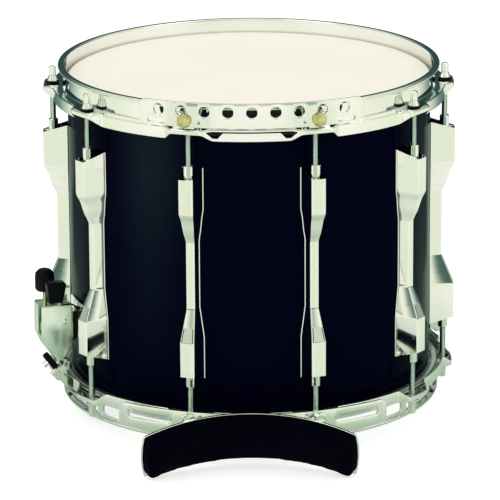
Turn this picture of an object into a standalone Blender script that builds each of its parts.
"""Marching snare drum, nominal 14 x 12 in, ten lugs, carrier plate, leg rest, strainer.

Frame: metres, +Z up.  The origin is the centre of the batter head's playing surface.
The front (carrier plate and leg rest) faces -Y.  An azimuth is counted in degrees from
the front towards +X, so a point on the drum is (r sin az, -r cos az, z).
"Left" is -X and "right" is +X.  Sizes below are in millimetres.
"""
import bpy
import bmesh
import math
from mathutils import Matrix, Vector

MM = 0.001

# ---------------------------------------------------------------- driving sizes (mm, degrees)
SHELL_R = 14 * 25.4 / 2   # outside radius of the 14 in shell
SHELL_T = 6.5             # ply thickness
SHELL_TOP = -0.8          # bearing edge under the film
DEPTH = 305.6             # playing surface to snare-side film surface
MID_Z = -DEPTH / 2
FILM_T = 0.5
ROUND_STEPS = 48          # steps round the shell, heads and flesh hoops
ROD_COUNT = 10
ROD_PITCH = 360.0 / ROD_COUNT
ROD_AZ = [-ROD_PITCH / 2 + ROD_PITCH * i for i in range(ROD_COUNT)]
FRONT_ROD_AZ = ROD_PITCH / 2    # the two front rods stand at plus and minus this
ROD_CIRCLE_R = 192.0
FIT_GAP = 0.4             # base plates and eyelet stand this far off the shell
REAR_AZ = 180.0
STRAINER_AZ = -72.0
BUTT_AZ = STRAINER_AZ + 180.0
SIDES = ((-1, "left"), (1, "right"))

# ---------------------------------------------------------------- clean start
for old in list(bpy.data.objects):
    bpy.data.objects.remove(old, do_unlink=True)

PARTS = bpy.data.collections.new("marching_snare_drum")
CUTS = bpy.data.collections.new("cutters")
bpy.context.scene.collection.children.link(PARTS)
bpy.context.scene.collection.children.link(CUTS)


# ---------------------------------------------------------------- materials
def new_material(name, rgb, roughness, metallic):
    material = bpy.data.materials.new(name)
    material.use_nodes = True
    shader = material.node_tree.nodes["Principled BSDF"]
    shader.inputs["Base Color"].default_value = (*rgb, 1.0)
    shader.inputs["Roughness"].default_value = roughness
    shader.inputs["Metallic"].default_value = metallic
    return material


CHROME = new_material("chrome", rgb=(0.80, 0.84, 0.79), roughness=0.07, metallic=1.0)
HOOP_CHROME = new_material("chrome_hoop", rgb=(0.82, 0.85, 0.80), roughness=0.06, metallic=1.0)
LACQUER = new_material("black_lacquer", rgb=(0.004, 0.004, 0.010), roughness=0.12, metallic=0.0)
COATED_FILM = new_material("coated_film", rgb=(0.93, 0.89, 0.80), roughness=0.45, metallic=0.0)
SNARE_FILM = new_material("snare_film", rgb=(0.85, 0.86, 0.84), roughness=0.25, metallic=0.0)
ALUMINIUM = new_material("aluminium", rgb=(0.72, 0.73, 0.72), roughness=0.3, metallic=1.0)
BRASS = new_material("brass", rgb=(0.62, 0.50, 0.22), roughness=0.25, metallic=1.0)
PLASTIC = new_material("black_plastic", rgb=(0.012, 0.012, 0.016), roughness=0.4, metallic=0.0)
PAD_FOAM = new_material("black_pad", rgb=(0.006, 0.006, 0.012), roughness=0.7, metallic=0.0)
WIRE = new_material("snare_wire", rgb=(0.78, 0.76, 0.70), roughness=0.3, metallic=1.0)


# ---------------------------------------------------------------- places and frames
def polar_mm(r, az, z):
    angle = math.radians(az)
    return Vector((r * math.sin(angle), -r * math.cos(angle), z))


def polar(r, az, z):
    """Point in metres from radius and height in mm and azimuth in degrees."""
    return polar_mm(r, az, z) * MM


def place(az):
    """Frame at an azimuth: +X radially outwards, +Y towards larger azimuth, +Z up."""
    return Matrix.Rotation(math.radians(az - 90.0), 4, "Z")


def shift(x, y, z):
    return Matrix.Translation(Vector((x, y, z)) * MM)


def axes_frame(origin, x_axis, y_axis, z_axis):
    return shift(*origin) @ Matrix((x_axis, y_axis, z_axis)).transposed().to_4x4()


def mirrored(z):
    """Height reflected from the batter side to the snare side."""
    return -DEPTH - z


def mirrored_profile(profile):
    return [(r, mirrored(z)) for r, z in reversed(profile)]


# ---------------------------------------------------------------- mesh builders
def add(name, mesh, coll=PARTS, mat=None, frame=None):
    ob = bpy.data.objects.new(name, mesh)
    coll.objects.link(ob)
    if frame is not None:
        ob.matrix_world = frame
    if mat is not None:
        mesh.materials.clear()
        mesh.materials.append(mat)
    if coll is CUTS:
        ob.hide_render = True
        ob.display_type = "WIRE"
    return ob


def add_bmesh(name, bm, **kw):
    mesh = bpy.data.meshes.new(name)
    bm.to_mesh(mesh)
    bm.free()
    return add(name, mesh, **kw)


def bake(ob):
    """Evaluated mesh of an object, which is then removed."""
    bpy.context.view_layer.update()
    depsgraph = bpy.context.evaluated_depsgraph_get()
    mesh = bpy.data.meshes.new_from_object(ob.evaluated_get(depsgraph))
    bpy.data.objects.remove(ob, do_unlink=True)
    return mesh


def box_into(bm, low, high, frame=Matrix.Identity(4)):
    """Box between two corners (mm) added to bm."""
    centre = [(a + b) / 2 * MM for a, b in zip(low, high)]
    size = [(b - a) * MM for a, b in zip(low, high)]
    for v in bmesh.ops.create_cube(bm, size=1.0)["verts"]:
        v.co = frame @ Vector([v.co[i] * size[i] + centre[i] for i in range(3)])


def box(name, low, high, **kw):
    bm = bmesh.new()
    box_into(bm, low, high)
    return add_bmesh(name, bm, **kw)


def cylinder_into(bm, start, end, radius, segments, spin=0.0):
    """Closed cylinder between two points (mm) added to bm."""
    a, b = Vector(start) * MM, Vector(end) * MM
    axis = b - a
    turn = Vector((0, 0, 1)).rotation_difference(axis).to_matrix().to_4x4()
    matrix = Matrix.Translation((a + b) / 2) @ turn @ Matrix.Rotation(spin, 4, "Z")
    bmesh.ops.create_cone(bm, cap_ends=True, cap_tris=False, segments=segments,
                          radius1=radius * MM, radius2=radius * MM, depth=axis.length,
                          matrix=matrix)


def cylinder(name, start, end, radius, segments, spin=0.0, **kw):
    bm = bmesh.new()
    cylinder_into(bm, start, end, radius, segments, spin)
    return add_bmesh(name, bm, **kw)


def skin_into(bm, rings, loop=False):
    """Skin between rings of points (metres), capped at both ends unless it is a loop."""
    rows = [[bm.verts.new(p) for p in ring] for ring in rings]
    n, k = len(rows), len(rows[0])
    faces = []
    for i in range(n if loop else n - 1):
        a, b = rows[i], rows[(i + 1) % n]
        for j in range(k):
            faces.append(bm.faces.new((a[j], a[(j + 1) % k], b[(j + 1) % k], b[j])))
    if not loop:
        faces.append(bm.faces.new(rows[0]))
        faces.append(bm.faces.new(list(reversed(rows[-1]))))
    bmesh.ops.recalc_face_normals(bm, faces=faces)


def loft(name, rings, loop=False, **kw):
    bm = bmesh.new()
    skin_into(bm, rings, loop)
    return add_bmesh(name, bm, **kw)


def turned(name, profile, steps, closed=False, **kw):
    """Solid of revolution about Z.  The profile is (radius, z) in mm."""
    bm = bmesh.new()
    verts = [bm.verts.new((r * MM, 0.0, z * MM)) for r, z in profile]
    n = len(verts)
    for i in range(n if closed else n - 1):
        bm.edges.new((verts[i], verts[(i + 1) % n]))
    ob = add_bmesh(name, bm, **kw)
    screw = ob.modifiers.new("turn", "SCREW")
    screw.axis = "Z"
    screw.angle = 2 * math.pi
    screw.steps = steps
    screw.render_steps = steps
    screw.use_merge_vertices = True
    screw.merge_threshold = 0.00001
    screw.use_smooth_shade = False
    return ob


def outline(name, points, half, frame, mat=None, coll=PARTS):
    """Flat outline (x, z) in the frame's X-Z plane, extruded by half each side along Y."""
    curve = bpy.data.curves.new(name, "CURVE")
    curve.dimensions = "2D"
    curve.fill_mode = "BOTH"
    curve.extrude = half * MM
    spline = curve.splines.new("POLY")
    spline.points.add(len(points) - 1)
    for point, (x, z) in zip(spline.points, points):
        point.co = (x * MM, z * MM, 0.0, 1.0)
    spline.use_cyclic_u = True
    curve_ob = bpy.data.objects.new(name + "_curve", curve)
    CUTS.objects.link(curve_ob)
    mesh = bake(curve_ob)
    # the filled curve's caps and walls are separate until welded
    bm = bmesh.new()
    bm.from_mesh(mesh)
    bmesh.ops.remove_doubles(bm, verts=bm.verts, dist=0.00001)
    bmesh.ops.recalc_face_normals(bm, faces=bm.faces)
    bm.to_mesh(mesh)
    bm.free()
    return add(name, mesh, coll=coll, mat=mat, frame=frame @ Matrix.Rotation(math.pi / 2, 4, "X"))


def arc_plate(name, r_in, thickness, stations):
    """Curved chrome plate through stations of (azimuth, low z, high z)."""
    r_out = r_in + thickness
    rings = [[polar(r_in, az, low), polar(r_out, az, low),
              polar(r_out, az, high), polar(r_in, az, high)] for az, low, high in stations]
    return loft(name, rings, mat=CHROME)


def round_ended_plate(name, r_in, thickness, ends, inner_az):
    """Symmetric arc plate.  ends is (azimuth, low z, high z) from the tip inwards; the last
    height holds for the stations 4 degrees apart between plus and minus inner_az."""
    _, low, high = ends[-1]
    middle = [(-inner_az + 4.0 * i, low, high) for i in range(inner_az // 2 + 1)]
    left = [(-az, lo, hi) for az, lo, hi in ends]
    return arc_plate(name, r_in, thickness, left + middle + ends[::-1])


def base_plate(name, centre_az, low, high):
    """Curved base plate against the shell."""
    stations = [(centre_az - 6.4 + 1.6 * i, low, high) for i in range(9)]
    return arc_plate(name, SHELL_R + FIT_GAP, 2.4, stations)


# ---------------------------------------------------------------- modifiers
def boolean(ob, tool, operation="DIFFERENCE"):
    modifier = ob.modifiers.new(operation.lower(), "BOOLEAN")
    modifier.operation = operation
    modifier.object = tool
    modifier.solver = "EXACT"


def chamfer(ob, width):
    modifier = ob.modifiers.new("edge", "BEVEL")
    modifier.width = width * MM
    modifier.segments = 1
    modifier.limit_method = "ANGLE"
    modifier.angle_limit = math.radians(30.0)


# ---------------------------------------------------------------- shell
VENT_R = 6.6
EYELET = [  # (radius, distance outwards from the eyelet's seat)
    (9.5, 1.3), (9.5, 0.0), (6.1, 0.0), (6.1, -8.6), (5.0, -8.6), (5.0, 0.9), (5.6, 1.3)]


def shell():
    r_in = SHELL_R - SHELL_T
    edge_r = r_in + 3.0         # inner side of the flat bearing edge
    edge_w = 0.6
    outer_bevel, inner_bevel = 3.2, 3.0
    top = [(r_in, SHELL_TOP - inner_bevel), (edge_r, SHELL_TOP), (edge_r + edge_w, SHELL_TOP),
           (SHELL_R, SHELL_TOP - outer_bevel)]
    body = turned("shell", top + mirrored_profile(top), ROUND_STEPS, closed=True, mat=LACQUER)
    boolean(body, cylinder("vent_hole", (165, 0, MID_Z), (185, 0, MID_Z), VENT_R, 12,
                           coll=CUTS, frame=place(REAR_AZ)))


def vent_eyelet():
    """Thin tube through the shell with a flange outside."""
    frame = (place(REAR_AZ) @ shift(SHELL_R + FIT_GAP, 0, MID_Z)
             @ Matrix.Rotation(math.pi / 2, 4, "Y"))
    turned("vent_eyelet", EYELET, 14, closed=True, mat=CHROME, frame=frame)


# ---------------------------------------------------------------- heads
# (radius, z): film top from the centre out, down the collar, and back under the film
HEAD = [(0, 0), (175.3, 0), (177.5, -0.9), (178.6, -2.6), (178.9, -4.2), (178.9, -14.0),
        (178.3, -14.0), (178.3, -4.4), (178.0, -2.9), (177.0, -1.4), (175.3, -FILM_T),
        (0, -FILM_T)]
# (radius, z) section of the ring round the collar
FLESH_HOOP = [(179.5, -10.2), (185.6, -10.2), (186.0, -10.8), (186.0, -15.6), (179.5, -15.6)]


def heads():
    turned("batter_head", HEAD, ROUND_STEPS, mat=COATED_FILM)
    turned("snare_head", mirrored_profile(HEAD), ROUND_STEPS, mat=SNARE_FILM)


def flesh_hoops():
    for name, profile in (("batter_flesh_hoop", FLESH_HOOP),
                          ("snare_flesh_hoop", mirrored_profile(FLESH_HOOP))):
        turned(name, profile, ROUND_STEPS, closed=True, mat=ALUMINIUM)


# ---------------------------------------------------------------- counter hoops
COLLAR_IN, COLLAR_OUT = 180.2, 182.6
RIM_TOP, RIM_OUT = 13.0, 187.2
FLANGE_TOP, FLANGE_T = -7.6, 2.0
SKIRT_R, SKIRT_Z = 192.4, -19.6     # outside and lower edge of the skirt between rods
EAR_R, EAR_Z = 201.0, -12.4         # the same at a rod
SKIRT_T = 1.8
HOOP_HOLE_R = 3.7
# (degrees from the rod, share of the ear shape)
EAR_STEPS = [(-ROD_PITCH / 2, 0.0), (-11.0, 0.0), (-7.0, 0.0), (-4.4, 1.0), (4.4, 1.0),
             (7.0, 0.0), (11.0, 0.0)]
# window in the snare hoop's collar, in the frame between two rods
WINDOW_R = (171.5, 187.5)
WINDOW_HALF = 51.0
WINDOW_TOP = -DEPTH + 4.0
WINDOW_H = 11.6
# (x, z) of the slot in the front of the batter hoop, and the y it runs between
FRONT_SLOT = [(-43.5, -10.0), (43.5, -10.0), (36.5, -16.8), (32.0, -16.8),
              (27.0, -11.4), (-27.0, -11.4), (-32.0, -16.8), (-36.5, -16.8)]
FRONT_SLOT_Y = (-184.5, -203.0)


def hoop_section(ear):
    """Closed section (r, z); ear runs from 0 between rods to 1 at a rod."""
    r_out = SKIRT_R + (EAR_R - SKIRT_R) * ear
    low = SKIRT_Z + (EAR_Z - SKIRT_Z) * ear
    flange_low = FLANGE_TOP - FLANGE_T
    return [(COLLAR_IN, RIM_TOP), (RIM_OUT - 1.6, RIM_TOP), (RIM_OUT, RIM_TOP - 1.0),
            (RIM_OUT, 9.4), (COLLAR_OUT, 8.0), (COLLAR_OUT, FLANGE_TOP),
            (r_out - 0.6, FLANGE_TOP), (r_out, low), (r_out - SKIRT_T, low),
            (r_out - SKIRT_T, flange_low), (COLLAR_IN, flange_low)]


def hoop(name, height):
    """Counter hoop with its rod holes; height maps a batter-side z to this hoop's side."""
    rings = [[polar(r, rod_az + offset, height(z)) for r, z in hoop_section(ear)]
             for rod_az in ROD_AZ for offset, ear in EAR_STEPS]
    ob = loft(name, rings, loop=True, mat=HOOP_CHROME)
    bm = bmesh.new()
    for az in ROD_AZ:
        cylinder_into(bm, polar_mm(ROD_CIRCLE_R, az, height(-4)),
                      polar_mm(ROD_CIRCLE_R, az, height(-16)), HOOP_HOLE_R, 8)
    boolean(ob, add_bmesh(name + "_rod_holes", bm, coll=CUTS))
    return ob


def batter_hoop():
    """A slot round three sides leaves a tongue in the front of the skirt."""
    name = "batter_counter_hoop"
    ob = hoop(name, lambda z: z)
    rings = [[Vector((x, y, z)) * MM for x, z in FRONT_SLOT] for y in FRONT_SLOT_Y]
    boolean(ob, loft(name + "_front_slot", rings, coll=CUTS))


def snare_hoop():
    """A wide window opens the collar between every two rods."""
    name = "snare_counter_hoop"
    ob = hoop(name, mirrored)
    bm = bmesh.new()
    for i in range(ROD_COUNT):
        box_into(bm, (WINDOW_R[0], -WINDOW_HALF, WINDOW_TOP - WINDOW_H),
                 (WINDOW_R[1], WINDOW_HALF, WINDOW_TOP), place(ROD_PITCH * i))
    boolean(ob, add_bmesh(name + "_windows", bm, coll=CUTS))


# ---------------------------------------------------------------- lugs and tension rods
LUG_BASE_R = SHELL_R + 0.35
LUG_WALL = 1.6
LUG_CORNER = 1.2
LUG_NOSE_R = 202.3
# upper half: (z at the nose, z at the base, nose radius, nose half-width, base half-width)
LUG_STATIONS = [(-56.0, -49.0, LUG_NOSE_R, 7.0, 10.2), (-90.0, -90.0, LUG_NOSE_R, 7.0, 10.2),
                (-120.0, -120.0, 190.0, 4.2, 6.0)]
ROD_R = 3.0
ROD_END = -86.0
WASHER_TOP, WASHER_LOW = -4.9, -7.3
FRONT_ROD_RAISE = 7.8     # the two front batter rods bear higher up
PLACE_NAMES = ["front_left", "front_right", "right_front", "right", "right_rear",
               "rear_right", "rear_left", "left_rear", "left", "left_front"]


def lug_ring(z_nose, z_base, nose_r, nose_w, base_w):
    """Channel section, open towards the shell, sloping from base to nose."""
    tip_w = nose_w - LUG_CORNER
    inner_r, inner_w = nose_r - LUG_WALL, nose_w - LUG_WALL
    section = [(LUG_BASE_R, base_w), (nose_r - LUG_CORNER, nose_w), (nose_r, tip_w),
               (nose_r, -tip_w), (nose_r - LUG_CORNER, -nose_w), (LUG_BASE_R, -base_w),
               (LUG_BASE_R, -(base_w - LUG_WALL)), (inner_r, -inner_w),
               (inner_r, inner_w), (LUG_BASE_R, base_w - LUG_WALL)]
    slope = (z_nose - z_base) / (nose_r - LUG_BASE_R)
    return [Vector((r, w, z_base + slope * (r - LUG_BASE_R))) * MM for r, w in section]


def lug_mesh():
    """Channel with a block, a sleeve and a rod bore at each end, baked to one mesh."""
    lower = [(mirrored(nose), mirrored(base), *rest)
             for nose, base, *rest in reversed(LUG_STATIONS)]
    ob = loft("lug_proto", [lug_ring(*s) for s in LUG_STATIONS + lower])
    heights = (lambda z: z, mirrored)

    def upright(name, z0, z1, radius):
        return cylinder(name, (ROD_CIRCLE_R, 0, z0), (ROD_CIRCLE_R, 0, z1), radius, 8,
                        spin=math.radians(22.5), coll=CUTS)

    solids = []
    for height in heights:
        low, high = sorted((height(-59.0), height(-69.0)))
        solids.append(box("lug_block", (187.5, -6.3, low), (201.4, 6.3, high), coll=CUTS))
        solids.append(upright("lug_sleeve", height(-44.0), height(-74.0), 4.8))
    bores = [upright("lug_bore", height(-41.0), height(-80.0), 3.6) for height in heights]
    for solid in solids:
        boolean(ob, solid, "UNION")
    for bore in bores:
        boolean(ob, bore)
    mesh = bake(ob)
    for tool in solids + bores:
        bpy.data.objects.remove(tool, do_unlink=True)
    mesh.materials.append(CHROME)
    return mesh


def rod_mesh(name, lift, washer_r):
    """Batter-side tension rod with its head and washer, raised by lift."""
    profile = [(0, 8.8 + lift), (3.0, 8.2 + lift), (3.8, -0.6 + lift), (6.0, WASHER_TOP + lift),
               (washer_r, WASHER_TOP + lift), (washer_r, WASHER_LOW + lift),
               (ROD_R, WASHER_LOW + lift), (ROD_R, ROD_END), (0, ROD_END)]
    mesh = bake(turned(name, profile, 8))
    mesh.materials.append(CHROME)
    return mesh


def lugs_and_rods():
    lug = lug_mesh()
    plain = rod_mesh("rod_plain", lift=0.0, washer_r=7.4)
    raised = rod_mesh("rod_raised", lift=FRONT_ROD_RAISE, washer_r=6.2)
    upside_down = shift(0, 0, -DEPTH) @ Matrix.Rotation(math.pi, 4, "X")
    for i, (az, where) in enumerate(zip(ROD_AZ, PLACE_NAMES)):
        at_rod = Matrix.Translation(polar(ROD_CIRCLE_R, az, 0))
        add("lug_" + where, lug, frame=place(az))
        add("batter_rod_" + where, raised if i < 2 else plain, frame=at_rod)
        add("snare_rod_" + where, plain, frame=at_rod @ upside_down)


# ---------------------------------------------------------------- shared by carrier and leg rest
POST_BORE_R = 3.7       # tension rod bore through a post
BOLT_BORE_R = 2.9       # bolt bore in a post
BOLT_HOLE_R = 3.2       # bolt hole in a plate
PIN_HOLE_R = 1.6        # small hole beside each bolt hole
BOLT_GAP = 0.3          # plate face to underside of the bolt head


def radial_hole(bm, az, z, radius, r_range, segments):
    r_in, r_out = r_range
    cylinder_into(bm, polar_mm(r_in, az, z), polar_mm(r_out, az, z), radius, segments)


def slot_into(bm, side, az_range, z, height, r_range):
    """Radial cutter with stepped round ends, on the given side of the front."""
    r_in, r_out = r_range
    az0, az1 = sorted(side * az for az in az_range)
    end = height / 2 / (r_out * math.radians(1.0))      # length of a rounded end, degrees
    # (azimuth, share of the full height)
    stations = [(az0, 0.35), (az0 + end * 0.45, 0.85), (az0 + end, 1.0),
                (az1 - end, 1.0), (az1 - end * 0.45, 0.85), (az1, 0.35)]
    rings = []
    for az, share in stations:
        half = height / 2 * share
        rings.append([polar(r_in, az, z - half), polar(r_out, az, z - half),
                      polar(r_out, az, z + half), polar(r_in, az, z + half)])
    skin_into(bm, rings)


def upright_cut(ob, name, z0, z1, radius, segments, frame):
    """Bore on the rod circle."""
    boolean(ob, cylinder(name, (ROD_CIRCLE_R, 0, z0), (ROD_CIRCLE_R, 0, z1), radius, segments,
                         coll=CUTS, frame=frame))


def bolt_cut(ob, name, r_in, z, frame):
    """Radial bolt bore in a post."""
    boolean(ob, cylinder(name, (r_in, 0, z), (203.0, 0, z), BOLT_BORE_R, 10,
                         coll=CUTS, frame=frame))


def hex_bolt(name, shank_name, z, head_r_range, radius, edge, shank_r_range, shank_radius,
             mat, frame):
    """Radial bolt: chamfered six-sided head joined to a round shank."""
    head_in, head_out = head_r_range
    bolt = cylinder(name, (head_in, 0, z), (head_out, 0, z), radius, 6, mat=mat, frame=frame)
    chamfer(bolt, edge)
    shank_in, shank_out = shank_r_range
    boolean(bolt, cylinder(shank_name, (shank_in, 0, z), (shank_out, 0, z), shank_radius, 10,
                           coll=CUTS, frame=frame), "UNION")


# ---------------------------------------------------------------- carrier plate
CARRIER_IN, CARRIER_T = 200.3, 2.4
CARRIER_FACE = CARRIER_IN + CARRIER_T
CARRIER_ENDS = [  # (azimuth, low z, high z) from the tip inwards
    (31.2, 1.5, 13.5), (30.8, -2.0, 17.0), (30.0, -3.9, 18.9), (28.8, -4.4, 19.4)]
CARRIER_BOLT_Z = 2.0
HOLE_COUNT, HOLE_STEP = 9, 6.33     # row of large holes, pitch in degrees
HOLE_Z, HOLE_R = 11.0, 5.2


def carrier_plate():
    plate = round_ended_plate("carrier_plate", CARRIER_IN, CARRIER_T, CARRIER_ENDS, 24)
    bm = bmesh.new()
    reach = (190.0, 215.0)
    for i in range(HOLE_COUNT):
        radial_hole(bm, (i - HOLE_COUNT // 2) * HOLE_STEP, HOLE_Z, HOLE_R, reach, 10)
    for side, _ in SIDES:
        radial_hole(bm, side * FRONT_ROD_AZ, CARRIER_BOLT_Z, BOLT_HOLE_R, reach, 8)
        radial_hole(bm, side * 14.2, 0.4, PIN_HOLE_R, reach, 6)
    for side, _ in SIDES:
        slot_into(bm, side, az_range=(23.4, 28.6), z=0.0, height=5.0, r_range=(195.0, 210.0))
    boolean(plate, add_bmesh("carrier_holes", bm, coll=CUTS))


def carrier_posts():
    for side, where in SIDES:
        frame = place(side * FRONT_ROD_AZ)
        post = box("carrier_post_" + where, (185.6, -8.5, -7.2), (199.6, 8.5, 7.4),
                   mat=CHROME, frame=frame)
        # a counterbore holds the tension rod's head above the rod's bore
        upright_cut(post, "post_sink_" + where, 0.2, 12, 6.7, 14, frame)
        upright_cut(post, "post_bore_" + where, -12, 3, POST_BORE_R, 10, frame)
        bolt_cut(post, "post_bolt_" + where, 196.0, CARRIER_BOLT_Z, frame)
        hex_bolt("carrier_bolt_" + where, "bolt_shank_" + where, z=CARRIER_BOLT_Z,
                 head_r_range=(CARRIER_FACE + BOLT_GAP, CARRIER_FACE + 5.0), radius=7.3,
                 edge=0.6, shank_r_range=(199.0, 205.0), shank_radius=2.5,
                 mat=BRASS, frame=frame)


# ---------------------------------------------------------------- leg rest
STRIP_IN, STRIP_T = 201.9, 2.4
STRIP_FACE = STRIP_IN + STRIP_T
STRIP_ENDS = [  # (azimuth, low z, high z) from the tip inwards
    (39.0, -299.5, -290.5), (38.3, -303.2, -286.8), (37.0, -306.4, -284.0),
    (35.4, -307.2, -283.2)]
LEG_BOLT_Z = -290.0
PAD_R = 161.0            # radius of the curved plate's front face
PAD_HALF = 101.5         # half chord
PAD_H = 48.0
PAD_T = 12.0             # plate's front face to the pad's front face
PAD_TILT = 20.0
PAD_TOP = (-4.0, -220.0, -276.8)    # middle of the front face's top edge
LEG_BRACKET = [  # (y, z)
    (-204.9, -286.4), (-204.9, -304.4), (-209.6, -304.4), (-215.8, -287.6), (-215.8, -286.4)]


def leg_strip():
    strip = round_ended_plate("leg_rest_strip", STRIP_IN, STRIP_T, STRIP_ENDS, 32)
    bm = bmesh.new()
    reach = (195.0, 215.0)
    for side, _ in SIDES:
        radial_hole(bm, side * FRONT_ROD_AZ, LEG_BOLT_Z, BOLT_HOLE_R, reach, 8)
        radial_hole(bm, side * 14.6, LEG_BOLT_Z - 1.0, PIN_HOLE_R, reach, 6)
        slot_into(bm, side, az_range=(22.4, 36.0), z=-293.0, height=7.6,
                  r_range=(196.0, 212.0))
    boolean(strip, add_bmesh("strip_holes", bm, coll=CUTS))


def leg_posts():
    head_in = STRIP_FACE + BOLT_GAP
    for side, where in SIDES:
        frame = place(side * FRONT_ROD_AZ)
        post = box("leg_rest_post_" + where, (186.4, -8.0, -295.4), (198.1, 8.0, -285.0),
                   mat=CHROME, frame=frame)
        upright_cut(post, "leg_post_bore_" + where, -300, -280, POST_BORE_R, 10, frame)
        bolt_cut(post, "leg_post_bolt_" + where, 196.6, LEG_BOLT_Z, frame)
        hex_bolt("leg_rest_bolt_" + where, "leg_shank_" + where, z=LEG_BOLT_Z,
                 head_r_range=(head_in, head_in + 4.6), radius=6.4, edge=0.5,
                 shank_r_range=(197.2, head_in + 2), shank_radius=2.4,
                 mat=CHROME, frame=frame)


def leg_frame():
    """Frame of the curved plate: +X across, +Y out of the concave face, +Z up its height."""
    c, s = math.cos(math.radians(PAD_TILT)), math.sin(math.radians(PAD_TILT))
    return axes_frame(PAD_TOP, Vector((-1, 0, 0)), Vector((0, -c, -s)), Vector((0, -s, c)))


def leg_rings(front_range, low, high, half_chord, end_cuts):
    """Curved slab.  front_range is its extent in front of the plate's front face; end_cuts
    are taken off its top and bottom at the stations from each end inwards."""
    f0, f1 = front_range
    spans = 16
    a_max = math.asin(half_chord / PAD_R)
    rings = []
    for i in range(spans + 1):
        a = -a_max + 2 * a_max * i / spans
        from_end = min(i, spans - i)
        cut = end_cuts[from_end] if from_end < len(end_cuts) else 0.0
        bottom, top = low + cut, high - cut
        rings.append([Vector(((PAD_R - f) * math.sin(a), PAD_R - (PAD_R - f) * math.cos(a), h))
                      * MM for f, h in ((f0, bottom), (f1, bottom), (f1, top), (f0, top))])
    return rings


def leg_pad():
    frame = leg_frame()
    plate = loft("leg_rest_plate", leg_rings((-2.0, 0.0), -PAD_H, 0.0, PAD_HALF, (3.0, 0.8)),
                 mat=CHROME, frame=frame)
    loft("leg_rest_pad",
         leg_rings((0.3, PAD_T), -PAD_H + 0.6, -1.0, PAD_HALF - 1.2, (2.6, 0.6)),
         mat=PAD_FOAM, frame=frame)
    # bracket on the back of the curved plate, facing the strip; the frame swaps X and Y
    swap_xy = Matrix(((0, 1, 0, 0), (1, 0, 0, 0), (0, 0, 1, 0), (0, 0, 0, 1)))
    boolean(plate, outline("leg_rest_bracket", LEG_BRACKET, 17.0, swap_xy, coll=CUTS), "UNION")


# ---------------------------------------------------------------- strainer
# outlines are (radius, z)
HOUSING = [(187.5, -213.5), (218.8, -213.0), (219.2, -243.0), (213.5, -256.0),
           (203.5, -270.5), (198.0, -268.5), (187.5, -256.0)]
GRIP = [(196.5, -211.5), (194.0, -200.0), (192.6, -193.0), (194.5, -191.2),
        (210.0, -190.6), (211.8, -192.6), (211.2, -200.0), (210.0, -211.5)]
LEVER_PIN_R, LEVER_PIN_Z = 196.0, -230.0     # place of the lever's cross pin
LEVER_IN, LEVER_OUT = LEVER_PIN_R - 4.0, LEVER_PIN_R + 4.5
LEVER_Y, LEVER_HALF = 6.5, 3.3               # middle and half-width along the shell
LEVER_TOP = -204.0
POCKET_GAP = 0.4                             # between the blade and its pocket in the grip
TENSION_FRAME = place(STRAINER_AZ) @ shift(209.0, -9.2, 0)
TENSION_SCREW = [(0, -190.0), (2.2, -190.0), (2.2, -237.6), (0, -237.6)]
TENSION_KNOB = [(0, -181.2), (5.0, -182.0), (8.4, -184.6), (9.5, -188.4), (9.5, -200.4),
                (8.6, -203.2), (2.6, -203.2), (2.6, -189.6), (0, -189.6)]


def strainer_housing():
    """Housing open at the top, with a foot on the base plate and a slot in its outer wall."""
    base_plate("strainer_base", STRAINER_AZ, -250.0, -213.0)
    frame = place(STRAINER_AZ)
    housing = outline("strainer_housing", HOUSING, 14.0, frame, mat=CHROME)
    for name, low, high, operation in (
            ("housing_foot", (181.1, -7.0, -246.0), (189.0, 7.0, -224.0), "UNION"),
            ("housing_cavity", (189.2, -12.2, -240.0), (217.4, 12.2, -205.0), "DIFFERENCE"),
            ("lever_slot", (205.0, 0.6, -243.5), (224.0, 12.4, -204.0), "DIFFERENCE")):
        boolean(housing, box(name, low, high, coll=CUTS, frame=frame), operation)


def throw_off_lever():
    """Chrome blade on a cross pin inside the housing, with a plastic grip."""
    frame = place(STRAINER_AZ)
    blade = box("throw_off_lever", (LEVER_IN, LEVER_Y - LEVER_HALF, LEVER_PIN_Z - 4.9),
                (LEVER_OUT, LEVER_Y + LEVER_HALF, LEVER_TOP), mat=CHROME, frame=frame)
    chamfer(blade, 0.7)
    boolean(blade, cylinder("lever_pin", (LEVER_PIN_R, -10.9, LEVER_PIN_Z),
                            (LEVER_PIN_R, 10.9, LEVER_PIN_Z), 2.2, 10,
                            coll=CUTS, frame=frame), "UNION")
    grip = outline("lever_grip", GRIP, 5.2, frame @ shift(0, LEVER_Y, 0), mat=PLASTIC)
    pocket_half = LEVER_HALF + POCKET_GAP
    boolean(grip, box("grip_pocket", (LEVER_IN - POCKET_GAP, LEVER_Y - pocket_half, -215.0),
                      (LEVER_OUT + POCKET_GAP, LEVER_Y + pocket_half, LEVER_TOP + POCKET_GAP),
                      coll=CUTS, frame=frame))
    chamfer(grip, 1.0)


def snare_tension():
    turned("snare_tension_screw", TENSION_SCREW, 10, mat=BRASS, frame=TENSION_FRAME)
    turned("snare_tension_knob", TENSION_KNOB, 16, mat=PLASTIC, frame=TENSION_FRAME)


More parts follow.
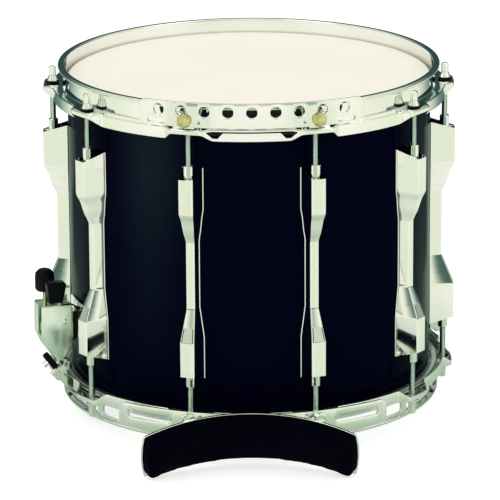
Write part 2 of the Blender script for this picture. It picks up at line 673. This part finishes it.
# ---------------------------------------------------------------- carriage, strands and butt
CARRIAGE = [(188.5, -272.8), (196.0, -272.2), (198.2, -276.5), (198.2, -285.2),
            (193.7, -285.2), (192.7, -282.0), (188.5, -282.0)]
WHEEL = [(0, 13.4), (2.8, 13.4), (2.8, 8.4), (8.4, 8.4), (9.3, 7.5), (9.3, 3.0), (8.4, 2.1),
         (0, 2.1)]
STRAND_HALF_LENGTH, STRAND_HALF_WIDTH = 170.0, 17.0
STRAND_LOW, STRAND_HIGH = -309.6, -307.4
STRAP = [  # centre line, from the clamp down to the strands
    (195.6, -286.4), (195.6, -290.0), (194.9, -296.5), (191.0, -302.0), (184.5, -306.0),
    (177.0, -308.2), (165.0, -308.5)]
STRAP_HALF_WIDTH, STRAP_HALF_T = 16.4, 0.45
BUTT = [(179.6, -226.0), (190.0, -226.0), (195.5, -232.0), (195.5, -262.0), (198.2, -272.0),
        (198.2, -282.6), (193.7, -282.6), (192.7, -280.0), (187.0, -280.0), (187.0, -262.0),
        (184.0, -250.0), (179.6, -246.0)]


def tilted_frame(r, z, down):
    """Strainer-side frame whose +Z points outwards and down degrees below the radial."""
    angle = math.radians(down)
    z_axis = Vector((math.cos(angle), 0, -math.sin(angle)))
    y_axis = Vector((0, 1, 0))
    return place(STRAINER_AZ) @ axes_frame((r, 0, z), y_axis.cross(z_axis), y_axis, z_axis)


def carriage():
    """Block under the housing that clamps the strap, with a screw stub and a wheel."""
    block = outline("snare_carriage", CARRIAGE, 10.0, place(STRAINER_AZ), mat=CHROME)
    boolean(block, cylinder("clamp_screw", (0, -3.0, -4.0), (0, -3.0, 11.0), 3.2, 12,
                            coll=CUTS, frame=tilted_frame(197.5, -281.5, 47.0)), "UNION")
    turned("snare_adjust_wheel", WHEEL, 16, mat=PLASTIC,
           frame=tilted_frame(204.5, -268.5, 34.6) @ shift(0, 5.0, 0))


def strap(name, az):
    frame = place(az)
    rings = []
    for i, (r, z) in enumerate(STRAP):
        before, after = STRAP[max(i - 1, 0)], STRAP[min(i + 1, len(STRAP) - 1)]
        along = Vector((after[0] - before[0], after[1] - before[1])).normalized()
        dr, dz = -along.y * STRAP_HALF_T, along.x * STRAP_HALF_T
        rings.append([frame @ (Vector((r + a * dr, STRAP_HALF_WIDTH * b, z + a * dz)) * MM)
                      for a, b in ((-1, -1), (1, -1), (1, 1), (-1, 1))])
    return loft(name, rings, coll=CUTS)


def strands():
    """Flat band under the snare-side head; a strap at each end rises through a hoop window."""
    band = box("snare_strands", (-STRAND_HALF_LENGTH, -STRAND_HALF_WIDTH, STRAND_LOW),
               (STRAND_HALF_LENGTH, STRAND_HALF_WIDTH, STRAND_HIGH),
               mat=WIRE, frame=place(STRAINER_AZ))
    for name, az in (("strainer_strap", STRAINER_AZ), ("butt_strap", BUTT_AZ)):
        boolean(band, strap(name, az), "UNION")


def butt():
    base = base_plate("butt_end", BUTT_AZ, -256.0, -222.0)
    boolean(base, outline("butt_body", BUTT, 14.0, place(BUTT_AZ), coll=CUTS), "UNION")


# ---------------------------------------------------------------- build
shell()
vent_eyelet()
heads()
flesh_hoops()
batter_hoop()
snare_hoop()
lugs_and_rods()
carrier_plate()
carrier_posts()
leg_strip()
leg_posts()
leg_pad()
strainer_housing()
throw_off_lever()
snare_tension()
carriage()
strands()
butt()
